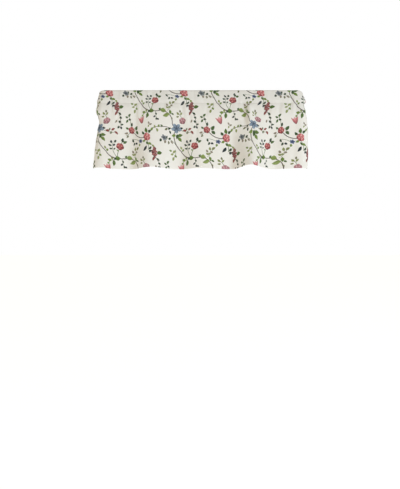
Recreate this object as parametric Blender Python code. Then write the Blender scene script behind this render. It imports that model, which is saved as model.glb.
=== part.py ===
"""Window valance: one flat cotton panel with a rod pocket, as it hangs on a curtain rod with returns.

Metres, +Z up.  The origin is the middle of the top edge, over the middle of the rod tunnel.
+X runs along the rod, -Y is the front and +Y the back.

The cloth is worked out thread by thread.  A place across the cloth is its distance along the cloth
from the middle thread, and a place down the cloth is its drop below the top edge.
"""
import math
from collections import namedtuple

import bmesh
import bpy

# ---------------------------------------------------------------- driving dimensions
INCH = 0.0254
DROP = 15 * INCH                    # top edge to hem
FLAT_WIDTH = 46 * INCH              # the panel between its finished side edges
ROD_WIDTH = 39 * INCH               # from return to return, along the middle of the rod
ROD_RETURN = 0.069                  # from the middle of the rod's front back to the cloth's side edge
ROD_CORNER = 0.0315                 # bend of the rod's corners, at the middle of the rod
POCKET_DEPTH = 0.062                # top edge to the row of stitching that closes the tunnel
POCKET_ALLOWANCE = 0.008            # cloth left below that row, inside
TUNNEL_GAP = 0.014                  # clear between the tunnel's front and back
CLOTH = 0.0015                      # one layer
HEM_CLOTH = 0.0026                  # the bottom hem and the side hems, turned up and sewn
HEM_DEPTH = 0.033                   # height of the bottom hem
SIDE_HEM = 0.022                    # width of a side hem
SEAM_GAP = 0.0004                   # between the two solids where the stitching holds them together

COLUMNS = 100                       # faces across the cloth
PLAN_STEP = 0.003                   # length of a step along a plan curve
HALF_FLAT = FLAT_WIDTH / 2
HALF_ROD = ROD_WIDTH / 2
TUNNEL_OUT = (TUNNEL_GAP + CLOTH) / 2          # a tunnel layer's distance from the middle of the rod
FOLD_DROP = TUNNEL_OUT + CLOTH / 2             # drop at which the top fold has turned straight down

HEM_CORNER = 0.050                  # bend of the cloth's own corners at the hem
LEFT_HEM_EDGE = 0.036               # where the side edges end at the hem, behind the rod's middle:
RIGHT_HEM_EDGE = 0.022              # the folds draw them forwards

# Down the front: drop below the top edge, and how far the cloth stands out from the rod's middle.
Row = namedtuple("Row", "drop out")
PINCH_DROP = 0.0565                 # where the pocket's two layers are drawn together
FRONT_ROWS = [
    Row(0.0300, 0.0080),
    Row(0.0480, 0.0072),
    Row(PINCH_DROP, 0.0050),
    Row(POCKET_DEPTH, 0.0034),
    Row(POCKET_DEPTH + POCKET_ALLOWANCE, 0.0042),
    Row(0.0880, 0.0050),
    Row(0.1150, 0.0050),
    Row(0.1500, 0.0050),
    Row(0.1850, 0.0050),
    Row(0.2200, 0.0050),
    Row(0.2550, 0.0050),
    Row(0.2900, 0.0050),
    Row(0.3200, 0.0050),
    Row(DROP - HEM_DEPTH - 0.003, 0.0050),
    Row(DROP - HEM_DEPTH, 0.0050),
    Row(DROP - HEM_DEPTH / 2, 0.0050),
    Row(DROP, 0.0050),
]
FOLD_FACES = 4                      # faces round the fold over the top of the rod
FOLD_TAIL = 0.0035                  # cloth past the fold, straight down the back

# Down the pocket's back layer, top to bottom.  Where it nears the stitching it follows the front.
STRIP_DROPS = (FOLD_DROP + FOLD_TAIL + SEAM_GAP, 0.0300, 0.0480, PINCH_DROP,
               POCKET_DEPTH, POCKET_DEPTH + POCKET_ALLOWANCE)
PINCH_SWELL = 0.4                   # the back layer's share of the front's swelling at the pinch

# The main folds.  x is the crest, the widths reach to its feet, depth is at the hem and is positive
# towards the front, and the fold grows from nothing at start as the drop's share to this power.
Fold = namedtuple("Fold", "x left_width right_width depth start power")
FOLDS = [
    Fold(-0.350, 0.080, 0.065, -0.026, 0.080, 1.00),
    Fold(-0.248, 0.080, 0.125, 0.043, 0.072, 1.00),
    Fold(-0.105, 0.080, 0.065, -0.024, 0.090, 1.00),
    Fold(0.000, 0.090, 0.100, 0.020, 0.110, 1.00),
    Fold(0.140, 0.070, 0.055, -0.016, 0.100, 1.00),
    Fold(0.243, 0.092, 0.095, 0.072, 0.100, 1.20),
    Fold(0.352, 0.060, 0.070, -0.014, 0.110, 1.00),
]

# How far the cloth swells past the rod at each return, by drop; less than nothing is drawn in.
Swell = namedtuple("Swell", "drop left right")
SWELLS = [
    Swell(0.000, -0.002, -0.005),
    Swell(0.010, 0.000, 0.000),
    Swell(0.033, 0.004, 0.006),
    Swell(0.048, 0.008, 0.011),
    Swell(0.066, 0.011, 0.006),
    Swell(0.100, 0.018, 0.014),
    Swell(0.125, 0.004, 0.020),
    Swell(0.150, 0.002, 0.028),
    Swell(0.200, 0.004, 0.034),
    Swell(0.250, 0.009, 0.034),
    Swell(0.300, 0.017, 0.031),
    Swell(0.381, 0.032, 0.032),
]

PANEL_COLOUR = (0.78, 0.75, 0.68, 1.0)
STRIP_COLOUR = (0.72, 0.70, 0.64, 1.0)
CLOTH_ROUGHNESS = 0.85


# ---------------------------------------------------------------- small helpers
def ease(share):
    """Return a smooth step from 0 to 1."""
    share = min(max(share, 0.0), 1.0)
    return share * share * (3 - 2 * share)


def swell_at(side, drop):
    """Return how far the cloth swells past the rod at one return (side -1 left, +1 right)."""
    for above, below in zip(SWELLS, SWELLS[1:]):
        if drop <= below.drop:
            break
    share = ease((drop - above.drop) / (below.drop - above.drop))
    high, low = (above.left, below.left) if side < 0 else (above.right, below.right)
    return high + (low - high) * share


def fold_reach(x, drop):
    """Return how far the folds carry the cloth towards the front at one place."""
    reach = 0.0
    for fold in FOLDS:
        width = fold.left_width if x < fold.x else fold.right_width
        across = abs(x - fold.x) / width
        if across < 1.0 and drop > fold.start:
            grown = ((drop - fold.start) / (DROP - fold.start)) ** fold.power
            reach += fold.depth * grown * math.cos(across * math.pi / 2) ** 2
    return reach


# ---------------------------------------------------------------- the cloth in plan
def half_plan(side, drop):
    """Return plan points from the middle thread round one corner and past the side edge.

    The first point lies one step before the middle thread, to give that thread its heading.
    """
    share = ease((drop - POCKET_DEPTH) / (DROP - POCKET_DEPTH))
    corner = ROD_CORNER + (HEM_CORNER - ROD_CORNER) * share
    front_end = HALF_ROD - corner
    points = []
    for index in range(-1, int(front_end / PLAN_STEP)):
        x = side * index * PLAN_STEP
        points.append((x, -fold_reach(x, drop)))
    arc_steps = max(12, int(corner * math.pi / 2 / PLAN_STEP))
    for index in range(arc_steps + 1):
        turn = index / arc_steps * math.pi / 2
        points.append((side * (front_end + corner * math.sin(turn)), corner * (1 - math.cos(turn))))
    for index in range(1, int(3 * ROD_RETURN / PLAN_STEP)):
        points.append((side * HALF_ROD, corner + index * PLAN_STEP))
    return points


def heading(points, index):
    """Return the direction along plan points at one of them."""
    before, after = points[index - 1], points[index + 1]
    length = math.dist(before, after)
    return (after[0] - before[0]) / length, (after[1] - before[1]) / length


def walk(points, length):
    """Return the place and the heading at a length along plan points from the middle thread."""
    for index in range(1, len(points) - 2):
        step = math.dist(points[index], points[index + 1])
        if length <= step:
            break
        length -= step
    share = length / step
    place = tuple(a + (b - a) * share for a, b in zip(points[index], points[index + 1]))
    first, second = heading(points, index), heading(points, index + 1)
    along = tuple(a + (b - a) * share for a, b in zip(first, second))
    return place, along


def path_length(points, wall_y):
    """Return the length of plan points from the middle thread up to the side edge's place."""
    length = 0.0
    for start, end in zip(points[1:], points[2:]):
        if end[1] > wall_y:
            return length + wall_y - start[1]
        length += math.dist(start, end)
    return length


def slack(points, side, drop):
    """Return the cloth's length over its path: ripples too small for the solid hold the rest."""
    hem_edge = LEFT_HEM_EDGE if side < 0 else RIGHT_HEM_EDGE
    share = max(0.0, (drop - POCKET_DEPTH) / (DROP - POCKET_DEPTH))
    return HALF_FLAT / path_length(points, ROD_RETURN + (hem_edge - ROD_RETURN) * share)


def plan_place(plans, across):
    """Return place, outward normal and share of return for a thread, by its distance across."""
    side = -1 if across < 0 else 1
    points, ripples = plans[side]
    place, along = walk(points, abs(across) / ripples)
    normal = (side * along[1], -side * along[0])
    share_of_return = ease(abs(normal[0]))
    if abs(place[0]) < HALF_ROD - HEM_CORNER:
        share_of_return = 0.0
    return place, normal, share_of_return


# ---------------------------------------------------------------- rows of cloth
def row_points(drop, out, swelling):
    """Return a row across the cloth, out from the rod's middle: each thread's place and normal."""
    plans = {}
    for side in (-1, 1):
        points = half_plan(side, drop)
        plans[side] = points, slack(points, side, drop)
    row = []
    for column in range(COLUMNS + 1):
        across = -HALF_FLAT + FLAT_WIDTH * column / COLUMNS
        place, normal, share = plan_place(plans, across)
        side = -1 if across < 0 else 1
        reach = out + swelling * swell_at(side, drop) * share
        row.append(((place[0] + normal[0] * reach, place[1] + normal[1] * reach), normal))
    return row


def level_row(row, drop):
    """Return a row of points at one height."""
    return [(x, y, -drop) for (x, y), normal in row]


def hang_row(row, drop, above, above_drop):
    """Return a row that hangs from the row above: a thread that leans out keeps its length."""
    thread = drop - above_drop
    hung = []
    for ((x, y), normal), (above_x, above_y, above_z) in zip(row, above):
        lean = (x - above_x) * normal[0] + (y - above_y) * normal[1]
        lean = min(abs(lean), 0.8 * thread)
        hung.append((x, y, above_z - math.sqrt(thread * thread - lean * lean)))
    return hung


def panel_rows():
    """Return the front's rows of points: over the top fold, down the pocket and down to the hem."""
    tail_drop = FOLD_DROP + FOLD_TAIL
    rows = [level_row(row_points(tail_drop, -TUNNEL_OUT, 0), tail_drop)]
    for step in range(FOLD_FACES + 1):
        turn = math.pi * step / FOLD_FACES
        drop = FOLD_DROP - TUNNEL_OUT * math.sin(turn)
        swelling = (1 - math.cos(turn)) / 2
        rows.append(level_row(row_points(drop, -TUNNEL_OUT * math.cos(turn), swelling), drop))
    above_drop = None
    for front in FRONT_ROWS:
        row = row_points(front.drop, front.out, 1)
        if front.drop <= POCKET_DEPTH + POCKET_ALLOWANCE:
            rows.append(level_row(row, front.drop))
        else:
            rows.append(hang_row(row, front.drop, rows[-1], above_drop))
        above_drop = front.drop
    return rows


def strip_rows():
    """Return the rows of the pocket's back layer, which lies on the front along the stitching."""
    on_front = {front.drop: front.out - CLOTH - SEAM_GAP for front in FRONT_ROWS}
    rows = []
    for drop in STRIP_DROPS:
        if drop >= POCKET_DEPTH:
            row = row_points(drop, on_front[drop], 1)
        elif drop == PINCH_DROP:
            row = row_points(drop, (on_front[POCKET_DEPTH] - TUNNEL_OUT) / 2, PINCH_SWELL)
        else:
            row = row_points(drop, -TUNNEL_OUT, 0)
        rows.append(level_row(row, drop))
    return rows


# ---------------------------------------------------------------- solids
def layers_at(column, height):
    """Return the cloth's thickness: more in the bottom hem and in the side hems below the pocket."""
    from_side = min(column, COLUMNS - column) * FLAT_WIDTH / COLUMNS
    in_side_hem = from_side < SIDE_HEM and height < -(POCKET_DEPTH + POCKET_ALLOWANCE) - CLOTH
    in_bottom_hem = height < -(DROP - HEM_DEPTH) + CLOTH
    return HEM_CLOTH if in_side_hem or in_bottom_hem else CLOTH


def cloth_material(name, colour):
    """Return a plain woven cloth's material."""
    material = bpy.data.materials.new(name)
    material.use_nodes = True
    shader = material.node_tree.nodes["Principled BSDF"]
    shader.inputs["Base Color"].default_value = colour
    shader.inputs["Roughness"].default_value = CLOTH_ROUGHNESS
    shader.inputs["Metallic"].default_value = 0.0
    return material


def cloth_solid(name, rows, colour):
    """Shape a grid to rows of points and thicken it into a closed sheet of cloth."""
    faces_down = len(rows) - 1
    mesh = bpy.data.meshes.new(name)
    grid = bmesh.new()
    bmesh.ops.create_grid(grid, x_segments=COLUMNS, y_segments=faces_down, size=1.0)
    weights = []
    for vert in grid.verts:
        column = round((vert.co.x + 1) / 2 * COLUMNS)
        row = round((1 - vert.co.y) / 2 * faces_down)
        vert.co = rows[row][column]
        weights.append(layers_at(column, vert.co.z) / HEM_CLOTH)
    grid.to_mesh(mesh)
    grid.free()
    solid = bpy.data.objects.new(name, mesh)
    bpy.context.scene.collection.objects.link(solid)
    layers = solid.vertex_groups.new(name="layers")
    for index, weight in enumerate(weights):
        layers.add([index], weight, "REPLACE")
    thicken = solid.modifiers.new("thicken", "SOLIDIFY")
    thicken.thickness = HEM_CLOTH
    thicken.offset = 0.0
    thicken.vertex_group = layers.name
    mesh.shade_smooth()
    mesh.materials.append(cloth_material(name, colour))
    return solid


def main():
    for old in list(bpy.data.objects):
        bpy.data.objects.remove(old, do_unlink=True)
    cloth_solid("panel", panel_rows(), PANEL_COLOUR)
    cloth_solid("pocket_strip", strip_rows(), STRIP_COLOUR)


main()
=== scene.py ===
# %% [markdown]
# # A printed cotton valance
#
# A valance is a short curtain, no deeper than a forearm is long.  This one is a single piece of
# cotton with an open pocket along its top, threaded on a curtain rod whose ends bend back.  The frame
# below holds its plain solids: here the cloth gets its thin layers, its hems, its small gathers, its
# sewing and its print.  All sizes are metres; +X runs along the rod, -Y is the front and +Z is up,
# with the origin at the middle of the top edge.

# %% Tools and the fixed frame
import math
import random
from collections import namedtuple

import bmesh
import bpy
import numpy as np
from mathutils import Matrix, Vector


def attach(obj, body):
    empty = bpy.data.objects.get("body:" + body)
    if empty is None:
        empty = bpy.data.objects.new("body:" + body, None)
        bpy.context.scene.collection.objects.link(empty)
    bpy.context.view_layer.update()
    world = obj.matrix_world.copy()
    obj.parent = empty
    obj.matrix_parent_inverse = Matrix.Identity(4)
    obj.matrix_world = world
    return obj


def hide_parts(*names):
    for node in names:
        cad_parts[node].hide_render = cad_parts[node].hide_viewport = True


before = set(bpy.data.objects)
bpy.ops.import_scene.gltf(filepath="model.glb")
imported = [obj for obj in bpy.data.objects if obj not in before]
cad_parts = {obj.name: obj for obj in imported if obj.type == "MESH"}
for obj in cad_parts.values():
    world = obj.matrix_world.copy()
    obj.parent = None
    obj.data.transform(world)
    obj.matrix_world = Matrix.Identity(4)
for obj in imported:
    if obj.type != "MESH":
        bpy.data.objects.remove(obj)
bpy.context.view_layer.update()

# %% [markdown]
# ## Shader maths
#
# The print is drawn by the material itself, from sizes in millimetres, so it stays sharp at any
# distance.  One small class turns ordinary arithmetic into Math nodes, and its node method adds any
# other kind of node from its type, its settings and its inputs.

# %% The shader class
def arithmetic(operation, swapped=False):
    """Return a method that adds one Math node, with its two values swapped for a reflected form."""
    return lambda self, other: self.maths(operation, *((other, self) if swapped else (self, other)))


class Wire:
    """One value in a shader: arithmetic on it adds Math nodes to its tree."""

    def __init__(self, tree, socket=None):
        self.tree, self.socket = tree, socket

    def node(self, kind, settings=None, inputs=None, output=0):
        """Add one node with its settings and inputs, and return the wire from one output."""
        made = self.tree.nodes.new(kind)
        for name, setting in (settings or {}).items():
            setattr(made, name, setting)
        for slot, value in (inputs or {}).items():
            if isinstance(value, Wire):
                self.tree.links.new(value.socket, made.inputs[slot])
            else:
                made.inputs[slot].default_value = value
        return Wire(self.tree, made.outputs[output])

    def maths(self, operation, *values):
        """Add one Math node on these values."""
        return self.node("ShaderNodeMath", {"operation": operation}, dict(enumerate(values)))

    def of(self, operation):
        """Add one Math node that takes this value alone."""
        return self.maths(operation, self)

    def __abs__(self):
        return self.of("ABSOLUTE")

    __add__ = __radd__ = arithmetic("ADD")
    __mul__ = __rmul__ = arithmetic("MULTIPLY")
    __sub__, __rsub__ = arithmetic("SUBTRACT"), arithmetic("SUBTRACT", swapped=True)
    __truediv__, __rtruediv__ = arithmetic("DIVIDE"), arithmetic("DIVIDE", swapped=True)
    __lt__, __gt__ = arithmetic("LESS_THAN"), arithmetic("GREATER_THAN")


# %% Blending, measuring and colours
MIX_SOCKETS = {"FLOAT": (2, 3, 0), "VECTOR": (4, 5, 1), "RGBA": (6, 7, 2)}


def blend(share, first, second, kind="RGBA"):
    """Return first where share is 0 and second where it is 1."""
    low, high, output = MIX_SOCKETS[kind]
    return share.node("ShaderNodeMix", {"data_type": kind}, {0: share, low: first, high: second}, output)


def length_of(vector):
    """Return a vector's length."""
    return vector.node("ShaderNodeVectorMath", {"operation": "LENGTH"}, {0: vector}, "Value")


def distance_to(vector, place):
    """Return the distance from a vector to a fixed place."""
    return vector.node("ShaderNodeVectorMath", {"operation": "DISTANCE"}, {0: vector, 1: place}, "Value")


def split(vector):
    """Return a vector's three parts."""
    first = vector.node("ShaderNodeSeparateXYZ", {}, {0: vector})
    parts = first.socket.node.outputs
    return [Wire(vector.tree, parts[index]) for index in range(3)]


def linear(colour):
    """Return a colour given as 0 to 255 screen values as the shader's linear values."""
    parts = [part / 255 for part in colour]
    parts = [((part + 0.055) / 1.055) ** 2.4 if part > 0.04045 else part / 12.92 for part in parts]
    return (*parts, 1.0)


print("middle grey is", round(linear((128, 128, 128))[0], 3), "as a linear value")

# %% [markdown]
# Each piece needs an object in the scene and a material with one Principled shader.  Blender makes both
# in the same few lines every time, so two helpers hold those lines.

# %% New materials and objects
def new_material(name, colour, roughness):
    """Return a material of one colour and roughness, and its shader."""
    material = bpy.data.materials.new(name)
    material.use_nodes = True
    shader = material.node_tree.nodes["Principled BSDF"]
    shader.inputs["Base Color"].default_value = colour
    shader.inputs["Roughness"].default_value = roughness
    return material, shader


def new_object(name, data):
    """Return an object with this data, in the scene."""
    made = bpy.data.objects.new(name, data)
    bpy.context.scene.collection.objects.link(made)
    return made


# %% [markdown]
# ## Camera
#
# The picture was taken straight on from a little over two metres, with the camera three quarters of a
# metre below the top edge, so the valance sits high in the frame.  The camera looks level along +Y:
# that keeps upright lines upright, and no shift is needed.

# %% Camera
MM = 0.001
PHOTO_HIGH = 489
PIXEL = 4.830 * MM                      # one photo pixel at the middle of the rod
CAMERA_AWAY = 2.30
CAMERA_DROP = 0.7475                    # the camera's height below the top edge
FACE_OUT = 0.0085                       # the cloth's face, in front of the middle of the rod
SENSOR = 36.0

camera_data = bpy.data.cameras.new("camera")
camera_data.sensor_fit = "AUTO"
camera_data.sensor_width = SENSOR
camera_data.lens = SENSOR * CAMERA_AWAY / (PIXEL * PHOTO_HIGH)
camera = new_object("camera", camera_data)
camera.location = (-PIXEL, -CAMERA_AWAY - FACE_OUT, -CAMERA_DROP)
camera.rotation_euler = (math.radians(90), 0, 0)
bpy.context.scene.camera = camera
print("lens", round(camera_data.lens, 2), "mm")

# %% [markdown]
# ## Studio
#
# A catalogue picture has a bright even surround and one soft light.  A warm dim fill comes from all
# sides, and one cooler lamp, far off to the right, leaves the folds' left sides a little darker and
# warmer.  The camera itself sees plain white.  The pale floor lies well below the valance, and glows
# enough to run into that white.

# %% Floor, world and lights
FLOOR_DROP = 1.45
FLOOR_SIZE = 60.0
FLOOR_GLOW = 0.59
FLOOR_TINT = (0.93, 0.93, 1.0, 1.0)     # a little blue, which the warm fill turns white
FLOOR_PAINT = (0.9, 0.9, 0.9, 1.0)
FLOOR_ROUGHNESS = 0.9
FILL_COLOUR = (1.0, 0.925, 0.775, 1.0)
FILL_STRENGTH = 0.545
KEY_COLOUR = (0.69, 0.825, 1.0)
KEY_WATTS = 240.0
KEY_SIZE = 1.6
KEY_PLACE = Vector((5.6, -6.0, -0.6))
KEY_TARGET = Vector((0.0, 0.0, -0.2))

scene = bpy.context.scene
scene.view_settings.view_transform = "Standard"

world = bpy.data.worlds.new("white_studio")
world.use_nodes = True
seen = world.node_tree.nodes["Background"]
seen.inputs["Color"].default_value = (1.0, 1.0, 1.0, 1.0)
fill = Wire(world.node_tree).node("ShaderNodeBackground", {},
                                  {"Color": FILL_COLOUR, "Strength": FILL_STRENGTH})
to_camera = fill.node("ShaderNodeLightPath", output="Is Camera Ray")
white = Wire(world.node_tree, seen.outputs[0])
mixed = fill.node("ShaderNodeMixShader", {}, {0: to_camera, 1: fill, 2: white})
world.node_tree.links.new(mixed.socket, world.node_tree.nodes["World Output"].inputs["Surface"])
scene.world = world

floor_shape = bmesh.new()
bmesh.ops.create_grid(floor_shape, x_segments=1, y_segments=1, size=FLOOR_SIZE / 2)
bmesh.ops.translate(floor_shape, verts=floor_shape.verts, vec=(0, 0, -FLOOR_DROP))
floor_mesh = bpy.data.meshes.new("floor")
floor_shape.to_mesh(floor_mesh)
floor_shape.free()
floor_paint, floor_shader = new_material("floor", FLOOR_PAINT, FLOOR_ROUGHNESS)
floor_shader.inputs["Emission Color"].default_value = FLOOR_TINT
floor_shader.inputs["Emission Strength"].default_value = FLOOR_GLOW
floor_mesh.materials.append(floor_paint)
floor = new_object("floor", floor_mesh)

key = bpy.data.lights.new("key", "AREA")
key.shape = "DISK"
key.size = KEY_SIZE
key.energy = KEY_WATTS
key.color = KEY_COLOUR
lamp = new_object("key", key)
lamp.location = KEY_PLACE
lamp.rotation_euler = (KEY_TARGET - KEY_PLACE).to_track_quat("-Z", "Y").to_euler()
print("one lamp of", KEY_WATTS, "W,", round(KEY_PLACE.length, 1), "m away")

# %% [markdown]
# ## The hanging shape
#
# The cloth's place is worked out thread by thread, with the same named sizes as the solids.  A place
# across is a distance along the cloth from its middle thread, and a place down is a drop below the
# top edge.  In plan the cloth follows the rod: straight along the front, round a corner and back.
# Below the pocket, broad soft folds push it forwards or let it fall back.  A cloth simulation could
# hang it too, but it would choose its own folds, and here each one has to lie where the picture has it.

# %% Driving sizes
INCH = 0.0254
DROP = 15 * INCH
FLAT_WIDTH = 46 * INCH
HALF_FLAT = FLAT_WIDTH / 2
HALF_ROD = 39 * INCH / 2
ROD_RETURN = 0.069
ROD_CORNER = 0.0315
HEM_CORNER = 0.050
LEFT_HEM_EDGE = 0.036
RIGHT_HEM_EDGE = 0.022
POCKET_DEPTH = 0.062
POCKET_ALLOWANCE = 0.008
HEM_DEPTH = 0.033
SIDE_HEM = 0.022
TUNNEL_OUT = 0.00775                    # each pocket layer's distance from the middle of the rod
FOLD_DROP = 0.0085                      # where the fold over the rod has turned straight down
PLAN_STEP = 0.002
TURN_STEPS = 40

Fold = namedtuple("Fold", "x left_width right_width depth start power")
FOLDS = [Fold(*sizes) for sizes in (
    (-0.350, 0.080, 0.065, -0.026, 0.080, 1.00), (-0.248, 0.080, 0.125, 0.043, 0.072, 1.00),
    (-0.105, 0.080, 0.065, -0.024, 0.090, 1.00), (0.000, 0.090, 0.100, 0.020, 0.110, 1.00),
    (0.140, 0.070, 0.055, -0.016, 0.100, 1.00), (0.243, 0.092, 0.095, 0.072, 0.100, 1.20),
    (0.352, 0.060, 0.070, -0.014, 0.110, 1.00),
)]
Swell = namedtuple("Swell", "drop left right")
SWELLS = [Swell(*sizes) for sizes in (
    (0.000, -0.005, -0.008), (0.010, -0.004, -0.004), (0.033, 0.001, 0.003), (0.048, 0.007, 0.011),
    (0.066, 0.010, 0.006), (0.100, 0.014, 0.012), (0.125, 0.004, 0.017), (0.150, -0.001, 0.020),
    (0.200, 0.009, 0.025), (0.250, 0.017, 0.025), (0.300, 0.024, 0.028), (0.381, 0.032, 0.031),
)]
print(len(FOLDS), "broad folds, and the ends swell by up to", max(max(swell[1:]) for swell in SWELLS), "m")

# %% Folds and swelling
def ease(share):
    """Return a smooth step from 0 to 1, for a number or an array."""
    share = np.clip(share, 0.0, 1.0)
    return share * share * (3 - 2 * share)


def hump(across):
    """Return a soft hump that is 1 at 0 and 0 from 1 on."""
    return np.cos(np.clip(np.abs(across), 0, 1) * math.pi / 2) ** 2


def swell_at(side, drop):
    """Return how far the cloth swells past the rod at one end (side -1 left, +1 right)."""
    for above, below in zip(SWELLS, SWELLS[1:]):
        if drop <= below.drop:
            break
    share = ease((drop - above.drop) / (below.drop - above.drop))
    high, low = (above.left, below.left) if side < 0 else (above.right, below.right)
    return high + (low - high) * share


def fold_reach(x, drop):
    """Return how far the broad folds carry the cloth forwards."""
    reach = np.zeros_like(x)
    for fold in FOLDS:
        width = np.where(x < fold.x, fold.left_width, fold.right_width)
        grown = max(0.0, (drop - fold.start) / (DROP - fold.start)) ** fold.power
        reach += fold.depth * grown * hump((x - fold.x) / width)
    return reach


hem_reach = fold_reach(np.array([fold.x for fold in FOLDS]), DROP)
print("the folds stand out", [round(float(reach), 3) for reach in hem_reach], "m at the hem")

# %% The path in plan
def half_path(side, drop):
    """Return one half's plan path as x, y and the length run from the middle thread."""
    corner = ROD_CORNER + (HEM_CORNER - ROD_CORNER) * ease((drop - POCKET_DEPTH) / (DROP - POCKET_DEPTH))
    front_end = HALF_ROD - corner
    along = np.arange(0, front_end, PLAN_STEP)
    turn = np.linspace(0, math.pi / 2, TURN_STEPS)
    back = np.arange(PLAN_STEP, 2 * ROD_RETURN, PLAN_STEP)
    x = side * np.concatenate([along, front_end + corner * np.sin(turn), np.full(len(back), HALF_ROD)])
    y = np.concatenate([-fold_reach(side * along, drop), corner * (1 - np.cos(turn)), corner + back])
    run = np.concatenate([[0], np.cumsum(np.hypot(np.diff(x), np.diff(y)))])
    return x, y, run


def plan_row(places, drop):
    """Return the plan place, outward normal and share of return for places across the cloth."""
    out = np.zeros((5, len(places)))
    for side in (-1, 1):
        x, y, run = half_path(side, drop)
        hem_edge = LEFT_HEM_EDGE if side < 0 else RIGHT_HEM_EDGE
        fallen = max(0.0, (drop - POCKET_DEPTH) / (DROP - POCKET_DEPTH))
        edge_y = ROD_RETURN + (hem_edge - ROD_RETURN) * fallen
        front_points = int(np.argmax(np.abs(x) >= HALF_ROD - HEM_CORNER))
        edge = np.interp(edge_y, y[front_points:], run[front_points:])
        slack = HALF_FLAT / edge
        heading_x, heading_y = np.gradient(x, run), np.gradient(y, run)
        here = (places < 0) if side < 0 else (places >= 0)
        length = np.abs(places[here]) / slack
        px, py = np.interp(length, run, x), np.interp(length, run, y)
        hx, hy = np.interp(length, run, heading_x), np.interp(length, run, heading_y)
        size = np.hypot(hx, hy)
        normal_x, normal_y = side * hy / size, -side * hx / size
        share = np.where(np.abs(px) < HALF_ROD - HEM_CORNER, 0, ease(np.abs(normal_x)))
        out[:, here] = px, py, normal_x, normal_y, share
    return out


print("the middle thread stands at y =", round(float(plan_row(np.zeros(1), DROP)[1, 0]), 4), "at the hem")

# %% [markdown]
# ## Small creases
#
# The cloth is a little fuller than the rod, so it puckers where the pocket is sewn: short creases run
# down from the sewing and die out.  The ones that show in the picture are listed one by one, each with
# its own size, and a seeded scatter of fainter ones fills the rest of the pocket.

# %% Creases
Crease = namedtuple("Crease", "x top bottom left_width right_width depth lean")
CREASES = [Crease(*sizes) for sizes in (
    (-0.435, 0.050, 0.140, 0.016, 0.012, -0.0030, 0.05), (-0.400, 0.052, 0.170, 0.018, 0.016, -0.0024, -0.05),
    (-0.322, 0.054, 0.200, 0.020, 0.016, -0.0030, 0.10), (-0.291, 0.055, 0.150, 0.014, 0.014, -0.0022, 0.05),
    (-0.176, 0.055, 0.140, 0.016, 0.014, -0.0020, -0.04), (-0.092, 0.052, 0.160, 0.018, 0.014, -0.0030, 0.06),
    (-0.060, 0.060, 0.190, 0.014, 0.014, -0.0022, 0.10), (-0.024, 0.135, 0.250, 0.020, 0.016, -0.0026, 0.05),
    (0.030, 0.052, 0.130, 0.014, 0.012, -0.0024, -0.04), (0.146, 0.058, 0.150, 0.016, 0.014, -0.0022, 0.04),
    (0.203, 0.050, 0.190, 0.020, 0.015, -0.0050, 0.08), (0.230, 0.064, 0.210, 0.016, 0.034, 0.0115, 0.06),
    (0.300, 0.050, 0.125, 0.014, 0.010, -0.0036, 0.10), (0.326, 0.054, 0.150, 0.014, 0.012, -0.0026, 0.04),
    (0.380, 0.052, 0.140, 0.016, 0.014, -0.0028, -0.05), (0.462, 0.060, 0.150, 0.018, 0.014, -0.0030, 0.05),
)]
CREASE_DEPTH = 1.5                      # how much deeper every crease is pressed than its line says
PUCKER_SEED = 31
PUCKER_PITCH = 0.021
PUCKER_SPACING = (0.6, 1.5)             # in pitches
PUCKER_WIDE = (0.007, 0.012)
PUCKER_TOP, PUCKER_BOTTOM = (-0.02, 0.03), (0.080, 0.125)
PUCKER_SKEW = (0.8, 1.2)                # its right side's width, in left sides
PUCKER_DEPTH = (-0.0030, 0.0014)
PUCKER_LEAN = (-0.10, 0.10)
chance = random.Random(PUCKER_SEED)
PUCKERS = []
pucker_x = -HALF_ROD
while pucker_x < HALF_ROD:
    pucker_x += PUCKER_PITCH * chance.uniform(*PUCKER_SPACING)
    wide = chance.uniform(*PUCKER_WIDE)
    PUCKERS.append(Crease(pucker_x, chance.uniform(*PUCKER_TOP), chance.uniform(*PUCKER_BOTTOM), wide,
                          wide * chance.uniform(*PUCKER_SKEW), chance.uniform(*PUCKER_DEPTH),
                          chance.uniform(*PUCKER_LEAN)))


def crease_reach(x, drop):
    """Return how far the small creases lift the cloth along its own outward direction."""
    reach = np.zeros_like(x)
    for crease in CREASES + PUCKERS:
        if crease.top < drop < crease.bottom:
            down = (drop - crease.top) / (crease.bottom - crease.top)
            strength = math.sin(math.pi * down ** 0.7) ** 0.8  # most a little above its middle
            middle = crease.x + crease.lean * (drop - crease.top)
            width = np.where(x < middle, crease.left_width, crease.right_width)
            reach += CREASE_DEPTH * crease.depth * strength * hump((x - middle) / width)
    return reach


print(len(CREASES), "creases by hand and", len(PUCKERS), "puckers")

# %% [markdown]
# ## The cloth as one surface
#
# The rows of the surface run from the raw edge inside the pocket, up its back, over the rod and down
# the front to the hem.  Each row has a drop, a distance out from the rod's middle and a share of the
# swelling at the ends.  Below the pocket the cloth hangs: where a thread leans out, its lower end
# lifts, so that the hem rises in a soft arch under each deep fold.

# %% Rows of the surface
Row = namedtuple("Row", "drop out swelling puckered")
FRONT_OUT = [                           # drop and distance out, down the front
    (0.0085, 0.00775), (0.0300, 0.0080), (0.0480, 0.0072), (0.0565, 0.0050), (0.0620, 0.0034),
    (0.0700, 0.0042), (0.0880, 0.0050), (DROP, 0.0050),
]
LAYER = 0.0010                          # from one cloth layer to the next, centre to centre
ROW_STEP = 0.0042
BACK_STEP = 0.0065
SEAM_DIP = 0.0008
SEAM_WIDE = 0.0022
SEAM_ROWS = (0.0600, 0.0612, POCKET_DEPTH, 0.0628, 0.0640)
SEAM_SPACE = 0.0035                     # how near the seam no other row lies
ALLOWANCE_ROW = 0.0660
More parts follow.
